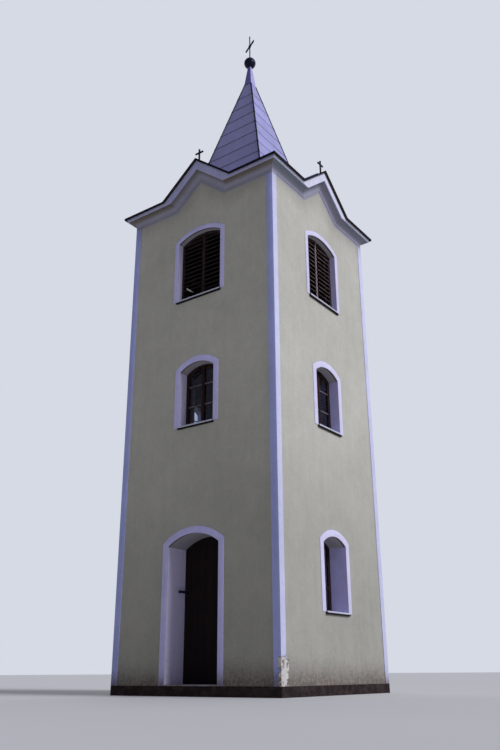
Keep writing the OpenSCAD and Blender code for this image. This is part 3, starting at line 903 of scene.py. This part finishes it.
class BELLTOWER_OT_trim(BellTowerStep):
    """Model the bands round the openings and the corner strips with softened edges"""
    bl_idname = "belltower.trim"
    bl_label = "Bands and corner strips"

    def execute(self, context):
        look = settings("finishes")
        # painted sunlight: bands and corner strips are paler on the sunny side
        trim = weathered_render("trim render", look.trim, sunny=look.trim_painted_sunlit)
        corner = weathered_render("corner render", look.corner, sunny=look.corner_painted_sunlit)
        for node, name, finish in (("door_surround", "door_band", trim),
                                   ("ground_window_surrounds", "ground_window_bands", trim),
                                   ("middle_window_surrounds", "middle_window_bands", trim),
                                   ("louvre_surrounds", "louvre_bands", trim),
                                   ("corner_strips", "corner_bands", corner)):
            softened(node, name, finish, "tower", "render_trim", 0.0035)
        return {"FINISHED"}


class BELLTOWER_OT_eaves(BellTowerStep):
    """Model the coved cornice and the fascia with clean smooth curves"""
    bl_idname = "belltower.eaves"
    bl_label = "Cornice and fascia"

    def execute(self, context):
        look = settings("finishes")
        cornice = only(solid_copy("cornice", "coved_cornice"))
        smooth(14)
        # painted shade on the cove, darkest under the fascia
        render = weathered_render("cove render", look.cove, damp_height=0.3, painted_shade_below=0.0, cove=True)
        placed(cornice, render, "tower", "render_trim", "cornice")
        # painted sunlight: the fascia is paler on the sunny side
        board = fine_paint("fascia paint", look.fascia, sunny=look.fascia_painted_sunlit)
        softened("fascia", "fascia_boards", board, "tower", "fascia_paint", 0.002, 1)
        return {"FINISHED"}


class BELLTOWER_OT_sills(BellTowerStep):
    """Model the folded sheet sills and the dark drip strips under them, their darkness a painted shadow"""
    bl_idname = "belltower.sills"
    bl_label = "Sills"

    def execute(self, context):
        look = settings("finishes")
        sheet = fine_paint("sill sheet", look.sill, 0.45, 0.3)
        softened("window_sills", "sheet_sills", sheet, "tower", "sill_sheet", 0.0015)
        storeys = ((GROUND_WINDOW, WINDOW_SIDES), (MIDDLE_WINDOW, SIDES), (LOUVRE, SIDES))
        strips = [self.strip(*storey) for storey in storeys]
        # painted shadow: the drip strips take the near-black slat colour
        dark = timber("sill packing", look.slat, look.louvre, "X")
        placed(one("sill_drip_strips", strips), dark, "tower", "sill_sheet")
        return {"FINISHED"}

    def strip(self, opening, sides):
        """A strip under each sill of a storey, hollow underneath; it is finished dark as the sill's painted
        shadow.
        """
        past, out, drop = 0.016, 0.034, 0.040
        half = opening.width / 2 + past
        strip = block("drip", (-half, -WALL - out, opening.sill - drop),
                      (half, -WALL, opening.sill - 0.0005))
        edit(strip)
        pick(strip, "faces", lambda f: f.normal.z < -0.9)
        bpy.ops.mesh.inset(thickness=0.006, depth=-0.005)
        done()
        return all_round("drip", soften(strip, 0.001, 1), sides)


class BELLTOWER_OT_roof(BellTowerStep):
    """Model the standing seams, ridge caps and hips of the skirt and gable roofs"""
    bl_idname = "belltower.roof"
    bl_label = "Roof seams"

    def skirt(self, reach):
        """Level of the skirt's surface at a distance from the middle."""
        roof = settings("roof")
        return roof.eave_level + (EAVE - reach) * math.tan(roof.skirt_pitch)

    def rib(self):
        """A standing seam one metre long along X, with a folded top."""
        half, sunk, fold = 0.005, 0.004, 0.008
        rib = block("rib", (0, -half, -sunk), (1, half, settings("roof").seam - sunk))
        edit(rib)
        pick(rib, "faces", lambda f: f.normal.z > 0.9)
        bpy.ops.mesh.extrude_region_move(TRANSFORM_OT_translate={"value": (0, 0, fold)})
        bpy.ops.transform.resize(value=(1, 1.9, 1))
        done()
        return outwards(rib)

    def cap(self, width, fall):
        """A ridge cap one metre long along X, its flaps folded down from a round top."""
        bpy.ops.mesh.primitive_cylinder_add(vertices=14, radius=0.013, depth=1.0, location=(0.5, 0, 0.006),
                                            rotation=(0, math.radians(90), 0))
        parts = [settle(added("roll"))]
        for way in (-1, 1):
            middle = (0.5, way * width / 2 * math.cos(fall), -width / 2 * math.sin(fall) + 0.004)
            parts.append(turned_box("flap", middle, (1.0, width, 0.004), (-way * fall, 0, 0)))
        return one("cap", parts)

    def execute(self, context):
        roof = settings("roof")
        fall = math.tan(roof.gable_pitch)
        tilt = math.tan(roof.skirt_pitch)
        foot = (RIDGE - roof.eave_level) / fall
        spire_at = (roof.apex - RIDGE) * roof.slope
        rib = self.rib()
        hip = self.cap(0.05, math.atan(tilt / math.sqrt(2)))
        ridge = self.cap(0.09, roof.gable_pitch)
        pieces = []

        def lay(master, start, end, up=UP):
            start, end = Vector(start), Vector(end)
            if (end - start).length > SHORTEST_SEAM:
                pieces.append(twin(master, "seam", aimed(start, end, Vector(up).normalized())))

        # seams of one gable roof, from its ridge down to the valley
        along = EAVE - 0.20
        while along > spire_at + 0.1:
            level = self.skirt(along)
            reach = (RIDGE - level) / fall
            for way in (-1, 1):
                lay(rib, (way * 0.012, -along, RIDGE - 0.010),
                    (way * reach, -along, level), (way * fall, 0, 1))
            along -= roof.seam_pitch
        # seams of the skirt beside the gable, from the eave up to the hip
        across = foot + 0.24
        eave = EAVE - 0.05
        while across < EAVE - 0.12:
            for way in (-1, 1):
                lay(rib, (way * across, -eave, self.skirt(eave)),
                    (way * across, -across, self.skirt(across)), (0, -tilt, 1))
            across += roof.seam_pitch * 0.8
        # hip of the skirt, from the eave up into the spire
        start = EAVE - 0.04
        end = roof.slope * (roof.apex - roof.eave_level - EAVE * tilt) / (1 - roof.slope * tilt) - 0.05
        lay(hip, (start, -start, self.skirt(start) + 0.002), (end, -end, self.skirt(end) + 0.002))
        # ridge of the gable
        lay(ridge, (0, -EAVE + 0.002, RIDGE - 0.022), (0, -spire_at + 0.05, RIDGE - 0.022))
        # flashing where the gable roof meets the spire
        low = self.skirt(spire_at + 0.11)
        side = (RIDGE - low) / fall
        for way in (-1, 1):
            lay(rib, (0, -spire_at - 0.002, RIDGE + 0.004),
                (way * side, -(roof.apex - low) * roof.slope - 0.002, low), (way * fall, -0.4, 1))
        front = one("seams_front", pieces)
        discard(rib, hip, ridge)
        finish = roof_paint()
        placed(all_round("roof_seams", front), finish, "tower", "roof_sheet")
        coat(finish, "roof_deck")
        return {"FINISHED"}


class BELLTOWER_OT_spire(BellTowerStep):
    """Model the spire in lapped courses of sheet, with rolls on its arrises"""
    bl_idname = "belltower.spire"
    bl_label = "Spire"

    def half(self, level):
        roof = settings("roof")
        return (roof.apex - level) * roof.slope

    def laps(self):
        roof = settings("roof")
        level = roof.first_lap
        while level < CAP_LOW - 0.1:
            yield level
            level += roof.course

    def execute(self, context):
        roof = settings("roof")
        foot = self.half(roof.foot)
        bpy.ops.mesh.primitive_plane_add(size=2 * foot, location=(0, 0, roof.foot))
        spire = settle(added("spire_sheets"))
        profile = []
        for level in self.laps():
            low = level - roof.lap_height
            profile += [(low, 0.0), (low + 0.002, roof.lap), (level - 0.003, roof.lap),
                        (level - 0.001, -0.004), (level + 0.009, -0.004), (level + 0.012, 0.0)]
        profile.append((CAP_LOW + 0.05, 0.0))
        edit(spire)
        draw_up(foot, roof.foot, [(level, self.half(level) + out) for level, out in profile])
        done()
        outwards(spire)
        sheet = painted_sheet("spire sheet", settings("finishes").spire)
        placed(spire, sheet, "tower", "spire_sheet", "spire")
        self.rolls(roof)
        return {"FINISHED"}

    def rolls(self, roof):
        """A roll up each arris, a little thicker at every lap."""
        low, high = roof.foot + 0.02, CAP_LOW - 0.012
        start = Vector((self.half(low), -self.half(low), low))
        run = Vector((self.half(high), -self.half(high), high)) - start
        bpy.ops.mesh.primitive_circle_add(vertices=12, radius=roof.hip_radius, fill_type="NGON")
        roll = added("roll")
        stretch = run.length / (high - low)
        swell = 1.28
        steps = []
        for level in self.laps():
            at = (level - low) * stretch
            steps += [(at - 0.018, 1.0), (at - 0.016, swell), (at, swell), (at + 0.002, 1.0)]
        edit(roll)
        draw_up(1.0, 0.0, steps + [(run.length, 1.0)])
        done()
        outwards(roll)
        roll.rotation_mode = "QUATERNION"
        roll.rotation_quaternion = run.to_track_quat("Z", "Y")
        roll.location = start + Vector((-0.004, 0.004, 0.0))
        settle(roll)
        smooth(40)
        finish = fine_paint("hip sheet", settings("finishes").roof_edge, 0.5, 0.3)
        placed(all_round("spire_hip_rolls", roll), finish, "tower", "roof_sheet")


class BELLTOWER_OT_finial(BellTowerStep):
    """Model the cap with its uneven hem, the ball and the crosses"""
    bl_idname = "belltower.finial"
    bl_label = "Cap, ball and crosses"

    def execute(self, context):
        look = settings("finishes")
        # painted shade and sunlight: the cap is darker than the spire, with a paler copy on the sunny side
        placed(self.cap(), painted_sheet("cap sheet", look.cap, look.cap_painted_sunlit),
               "tower", "spire_sheet", "spire_cap")
        placed(self.ball(), ball_sheet(), "tower", "dark_metal", "spire_ball")
        iron = iron_paint("cross iron")
        for node, name in (("spire_cross", "top_cross"), ("gable_crosses", "gable_cross_bars")):
            softened(node, name, iron, "tower", "iron", 0.003, 2, 50)
        return {"FINISHED"}

    def cap(self):
        """A steep sleeve with a hem that stands out and dips at one corner."""
        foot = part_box("spire_cap")[1].x
        body, top, sag = foot - 0.005, 0.036, 0.038
        profile = [(CAP_LOW + 0.012, foot), (CAP_LOW + 0.015, body)]
        for level in (CAP_LOW + 0.10, CAP_HIGH - 0.03, CAP_HIGH):
            share = (level - CAP_LOW) / (CAP_HIGH - CAP_LOW)
            profile.append((level, body * (1 - share) + top * share))
        bpy.ops.mesh.primitive_plane_add(size=2 * foot, location=(0, 0, CAP_LOW))
        cap = settle(added("spire_sleeve"))
        edit(cap)
        bpy.ops.mesh.subdivide(number_cuts=5)
        draw_up(foot, CAP_LOW, profile)
        # the hem dips towards the back right corner, where the sheet was wrapped over
        mesh = bmesh.from_edit_mesh(cap.data)
        for vertex in mesh.verts:
            if vertex.co.z < CAP_LOW + 0.02:
                dip = max(0.0, (vertex.co.x + vertex.co.y) / (2 * foot) + 0.15)
                wave = 0.008 * math.sin(vertex.co.x * 60) + 0.006 * math.sin(vertex.co.y * 50)
                vertex.co.z -= sag * dip - wave * 0.5
        bmesh.update_edit_mesh(cap.data)
        done()
        return outwards(cap)

    def ball(self):
        """A sheet ball with a seam round its middle and a short neck below."""
        middle = (BALL_LOW.z + BALL_HIGH.z) / 2
        radius = (BALL_HIGH.z - BALL_LOW.z) / 2
        bpy.ops.mesh.primitive_uv_sphere_add(segments=48, ring_count=24, radius=radius,
                                             location=(0, 0, middle))
        ball = settle(added("spire_ball_shell"))
        edit(ball)
        pick(ball, "faces", lambda f: abs(f.calc_center_median().z - middle) < radius * 0.14)
        bpy.ops.mesh.inset(thickness=0.009, use_even_offset=True)
        bpy.ops.mesh.inset(thickness=0.003, depth=-0.003, use_even_offset=True)
        pick(ball, "faces", lambda f: f.calc_center_median().z < middle - radius * 0.985)
        bpy.ops.mesh.extrude_region_move(TRANSFORM_OT_translate={"value": (0, 0, -0.010)})
        done()
        outwards(ball)
        smooth(25)
        return ball


class BELLTOWER_OT_louvres(BellTowerStep):
    """Model the louvre frames and slats, one of them broken"""
    bl_idname = "belltower.louvres"
    bl_label = "Louvres"

    def execute(self, context):
        look = settings("finishes")
        # painted sunlight on the stile on the sunny side
        wood = timber("louvre frame timber", look.louvre, look.louvre_worn, "Z", painted_sunlit_stile=look.painted_sunlit_stile)
        softened("louvre_frames", "louvre_frame_timbers", wood, "tower", "louvre_wood", 0.003)
        # the slats along Y get rubbed edges with painted sunlight; all slat faces are black with dirt and
        # painted shade
        slat_dirt_and_light = {"X": timber("slat timber along x", look.slat, look.louvre, "X", rubbed=look.rubbed),
                 "Y": timber("slat timber along y", look.slat, look.louvre, "Y", rubbed=look.rubbed_painted_sunlit)}
        luck = random.Random(7)
        for word, along in (("front", "X"), ("right", "Y"), ("back", "X"), ("left", "Y")):
            node = "louvre_slats_" + word
            slats = self.worn_slats(solid_copy(node, "slats_" + word), along, luck, word == "front")
            placed(soften(one("slats_" + word, slats), 0.0025), slat_dirt_and_light[along], "tower", "louvre_wood", node)
        raw = timber("raw slat timber", RAW_WOOD, RAW_WOOD_WORN, "X")
        placed(self.splinter(), raw, "tower", "louvre_wood")
        return {"FINISHED"}

    def worn_slats(self, slats, along, luck, broken):
        """Part the slats of one side, turn and drop each a little, and break one if asked."""
        lean = settings("joinery").slat_lean
        edit(slats)
        bpy.ops.mesh.separate(type="LOOSE")
        done()
        parts = sorted(bpy.context.selected_objects, key=lambda o: o.name)
        stubs = []
        for part in parts:
            low = Vector(map(min, *(v.co for v in part.data.vertices)))
            high = Vector(map(max, *(v.co for v in part.data.vertices)))
            middle = (low + high) / 2
            turn = Matrix.Rotation(luck.uniform(-lean, lean), 4, along)
            sag = Matrix.Translation((0, 0, luck.uniform(-0.002, 0.002)))
            part.data.transform(Matrix.Translation(middle) @ sag @ turn @ Matrix.Translation(-middle))
            if broken and middle.x < 0 and abs(middle.z - BROKEN_SLAT) < SLAT_PITCH / 2:
                stubs.append(self.snap(part))
        if broken and not stubs:
            raise RuntimeError("no slat to break")
        return parts + stubs

    def snap(self, part):
        """Break a slat in two and leave a gap between the stubs."""
        other = copied(part, "stub")
        for stub, at, lean, outer in ((part, -0.43, 0.5, True), (other, -0.20, -0.4, False)):
            edit(stub)
            bpy.ops.mesh.bisect(plane_co=(at, 0, 0), plane_no=(1, 0.1, lean), use_fill=True,
                                clear_outer=outer, clear_inner=not outer)
            done()
        return other

    def splinter(self):
        """The broken end, which hangs askew across the slats with its pale raw side out."""
        start, end = Vector((-0.390, -1.704, 7.622)), Vector((-0.222, -1.704, 7.492))
        thin, wide = 0.005, 0.0135
        shard = block("broken_slat", (0, -thin, -wide), (1, thin, wide))
        edit(shard)
        bpy.ops.mesh.subdivide(number_cuts=4)
        mesh = bmesh.from_edit_mesh(shard.data)
        for vertex in mesh.verts:
            if vertex.co.x > 0.79:
                vertex.co.z *= 0.35
                vertex.co.x += 0.05 * noise.noise(vertex.co * 60)
            if vertex.co.x < 0.01:
                vertex.co.x += 0.04 * noise.noise(vertex.co * 80)
            vertex.co.z += 0.003 * noise.noise(Vector((vertex.co.x * 7, 0, 1)))
        bmesh.update_edit_mesh(shard.data)
        done()
        shard.matrix_world = aimed(start, end, UP)
        return soften(outwards(settle(shard)), 0.0012, 1)


class BELLTOWER_OT_casements(BellTowerStep):
    """Model the arched casement windows of the ground and middle storeys"""
    bl_idname = "belltower.casements"
    bl_label = "Casements"

    def execute(self, context):
        look = settings("finishes")
        wood = timber("window timber", look.joinery, look.joinery_worn, "Z")
        # painted highlight: the middle windows' glazing bars are pale, as if lit
        bar_highlight_timber = timber("glazing bar timber", look.joinery_worn, look.bar, "Z")
        for storey, arch, reveal, sides, bar_wood in (
                ("ground", GROUND_WINDOW, GROUND_REVEAL, WINDOW_SIDES, wood),
                ("middle", MIDDLE_WINDOW, MIDDLE_REVEAL, SIDES, bar_highlight_timber)):
            parts, bars = self.window(arch)
            for name, group, finish, nodes in (("_casements", parts, wood, [storey + "_window_frames"]),
                                               ("_glazing_bars", bars, bar_wood, [])):
                for part in group:
                    soften(part, settings("joinery").edge, 2, 50)
                front = one(storey + name, group)
                front.location.y = -WALL + reveal
                settle(front)
                placed(all_round(storey + name, front, sides), finish, "tower", "window_wood", *nodes)
        return {"FINISHED"}

    def radius(self, arch):
        return (arch.width * arch.width / 4 + arch.rise * arch.rise) / (2 * arch.rise)

    def inner(self, arch, inset):
        """The arch drawn in by an even margin."""
        radius = self.radius(arch)
        crown = arch.spring + arch.rise
        half = arch.width / 2 - inset
        spring = crown - radius + math.sqrt((radius - inset) ** 2 - half ** 2)
        return Opening(2 * half, arch.sill + inset, spring, crown - inset - spring)

    def outline(self, name, arch):
        """A flat face with an arched head, on the front, at y = 0."""
        radius = self.radius(arch)
        bpy.ops.mesh.primitive_circle_add(vertices=160, radius=radius, fill_type="NGON",
                                          location=(0, 0, arch.spring + arch.rise - radius),
                                          rotation=(math.radians(90), 0, 0))
        face = settle(added(name))
        edit(face)
        bpy.ops.mesh.bisect(plane_co=(0, 0, arch.spring), plane_no=(0, 0, 1), clear_inner=True)
        bpy.ops.mesh.select_mode(type="EDGE")
        slack = 0.0004
        pick(face, "edges", lambda e: all(abs(v.co.z - arch.spring) < slack for v in e.verts))
        bpy.ops.mesh.extrude_region_move(TRANSFORM_OT_translate={"value": (0, 0, arch.sill - arch.spring)})
        bpy.ops.mesh.select_mode(type="FACE")
        bpy.ops.mesh.select_all(action="SELECT")
        bpy.ops.mesh.dissolve_faces()
        done()
        return face

    def rim(self, face, width, depth, back):
        """Leave a rim of even width, give it depth, and set it this far behind the frame's front."""
        edit(face)
        bpy.ops.mesh.inset(thickness=width, depth=0.0, use_even_offset=True)
        bpy.ops.mesh.delete(type="FACE")
        done()
        outwards(modified(face, "SOLIDIFY", thickness=depth, offset=1.0))
        face.location.y = back - min(v.co.y for v in face.data.vertices)
        return settle(face)

    def window(self, arch):
        """The timbers and the glazing bars of one window on the front, at y = 0."""
        join = settings("joinery")
        arch = arch._replace(sill=arch.sill + join.sill)
        lap, gap = 0.004, 0.0015
        fixed = self.rim(self.outline("frame", arch), join.frame, join.depth, back=0.0)
        rebate = self.outline("rebate", self.inner(arch, join.frame - lap))
        self.rim(rebate, width=0.012, depth=0.028, back=0.030)
        leaf = self.outline("leaf", self.inner(arch, join.frame + gap))
        edit(leaf)
        bpy.ops.mesh.bisect(plane_co=(0.002, 0, 0), plane_no=(1, 0, 0), clear_inner=True)
        done()
        self.rim(leaf, join.stile, join.leaf_depth, back=0.005)
        crown = arch.spring + arch.rise
        astragal = block("astragal", (-0.016, -0.004, arch.sill + join.frame + 0.001),
                         (0.016, 0.012, crown - join.frame - 0.004))
        parts = [fixed, rebate, leaf, twin(leaf, "leaf", MIRROR), astragal]
        end = arch.width / 2 - join.frame - join.stile + 0.006
        bars = []
        for row in range(1, join.rows):
            level = arch.sill + row * (crown - arch.sill) / join.rows
            bar = block("bar", (0.030, 0.009, level), (end, 0.027, level + join.bar))
            bars += [bar, twin(bar, "bar", MIRROR)]
        return parts, bars


class BELLTOWER_OT_door(BellTowerStep):
    """Model the plank door with its iron bar, straps and pins"""
    bl_idname = "belltower.door"
    bl_label = "Door"

    def execute(self, context):
        look = settings("finishes")
        join = settings("joinery")
        leaf = solid_copy("door_leaf", "door_planks")
        width = (LEAF_HIGH.x - LEAF_LOW.x) / join.planks
        grooves = self.grooves(join, width)
        modified(leaf, "BOOLEAN", operation="DIFFERENCE", solver="EXACT", object=grooves)
        discard(grooves)
        soften(leaf, 0.002, 1, 60)
        placed(leaf, timber("door planks stain", look.door, look.door_worn, "Z", board=width, roughness=0.88),
               "door", "door_wood", "door_leaf")
        iron = iron_paint("door iron")
        latch = solid_copy("door_latch_bar", "latch_iron")
        self.stouten(latch)
        placed(soften(latch, 0.0012, 2, 50), iron, "door", "iron", "door_latch_bar")
        softened("door_hinge_straps", "strap_iron", iron, "door", "iron", 0.0012, 2, 50)
        softened("door_pintles", "pin_iron", iron, "tower", "iron", 0.0012, 2, 50)
        return {"FINISHED"}

    def grooves(self, join, width):
        """Square bars on edge, which cut a groove between planks on both faces of the leaf."""
        side = join.groove / math.sqrt(2)
        size = (side, side, LEAF_HIGH.z - LEAF_LOW.z + 0.2)
        middle = (LEAF_LOW.z + LEAF_HIGH.z) / 2
        places = [(LEAF_LOW.x + number * width, face, middle)
                  for number in range(1, join.planks) for face in (LEAF_LOW.y, LEAF_HIGH.y)]
        turn = (0, 0, math.radians(45))
        return one("grooves", [turned_box("groove", place, size, turn) for place in places])

    def stouten(self, latch):
        """Make the bar of the latch as stout as it looks, and leave its plate alone."""
        low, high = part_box("door_latch_bar")
        axis = (low + high) / 2
        edit(latch)
        bpy.ops.mesh.select_mode(type="VERT")
        pick(latch, "verts", lambda v: v.co.y < high.y - 0.005
             and abs(v.co.x - axis.x) < 0.025 and abs(v.co.z - axis.z) < 0.025)
        bpy.ops.transform.resize(value=(1.5, 1, 1.7), center_override=axis)
        done()


class BELLTOWER_OT_floors(BellTowerStep):
    """Model the board floors that show through the openings"""
    bl_idname = "belltower.floors"
    bl_label = "Floors"

    def execute(self, context):
        look = settings("finishes")
        finish = timber("floor timber", look.boards, look.damp, "X")
        for node, name in (("middle_floor", "middle_floor_boards"), ("belfry_floor", "belfry_floor_boards")):
            low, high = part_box(node)
            count = round((high.y - low.y) / FLOOR_BOARD)
            wide = (high.y - low.y) / count
            board = soften(block("board", low, (high.x, low.y + wide - 0.002, high.z)), 0.005, 1)
            boards = [board] + [twin(board, "board", Matrix.Translation((0, wide * number, 0)))
                                for number in range(1, count)]
            placed(one(name, boards), finish, "tower", "floor_boards", node)
        return {"FINISHED"}


STEPS = (BELLTOWER_OT_studio, BELLTOWER_OT_walls, BELLTOWER_OT_trim, BELLTOWER_OT_eaves,
         BELLTOWER_OT_sills, BELLTOWER_OT_roof, BELLTOWER_OT_spire, BELLTOWER_OT_finial,
         BELLTOWER_OT_louvres, BELLTOWER_OT_casements, BELLTOWER_OT_door, BELLTOWER_OT_floors)
GROUPS = {"finishes": BellTowerFinishes, "roof": BellTowerRoof, "joinery": BellTowerJoinery,
          "studio": BellTowerStudio}


class BELLTOWER_PT_panel(bpy.types.Panel):
    bl_label = "Bell Tower"
    bl_idname = "BELLTOWER_PT_panel"
    bl_space_type = "VIEW_3D"
    bl_region_type = "UI"
    bl_category = "Bell Tower"

    def draw(self, context):
        for step in STEPS:
            self.layout.operator(step.bl_idname)
        for name, group in GROUPS.items():
            box = self.layout.box()
            box.label(text=name.capitalize())
            for value in group.__annotations__:
                box.prop(settings(name), value)


CLASSES = (*GROUPS.values(), *STEPS, BELLTOWER_PT_panel)


def register():
    for item in CLASSES:
        bpy.utils.register_class(item)
    for name, group in GROUPS.items():
        setattr(bpy.types.Scene, "bell_tower_" + name, PointerProperty(type=group))


def unregister():
    for name in GROUPS:
        delattr(bpy.types.Scene, "bell_tower_" + name)
    for item in reversed(CLASSES):
        bpy.utils.unregister_class(item)


def main():
    register()
    bpy.ops.belltower.studio()
    bpy.ops.belltower.walls()
    bpy.ops.belltower.trim()
    bpy.ops.belltower.eaves()
    bpy.ops.belltower.sills()
    bpy.ops.belltower.roof()
    bpy.ops.belltower.spire()
    bpy.ops.belltower.finial()
    bpy.ops.belltower.louvres()
    bpy.ops.belltower.casements()
    bpy.ops.belltower.door()
    bpy.ops.belltower.floors()


if __name__ == "__main__":
    main()
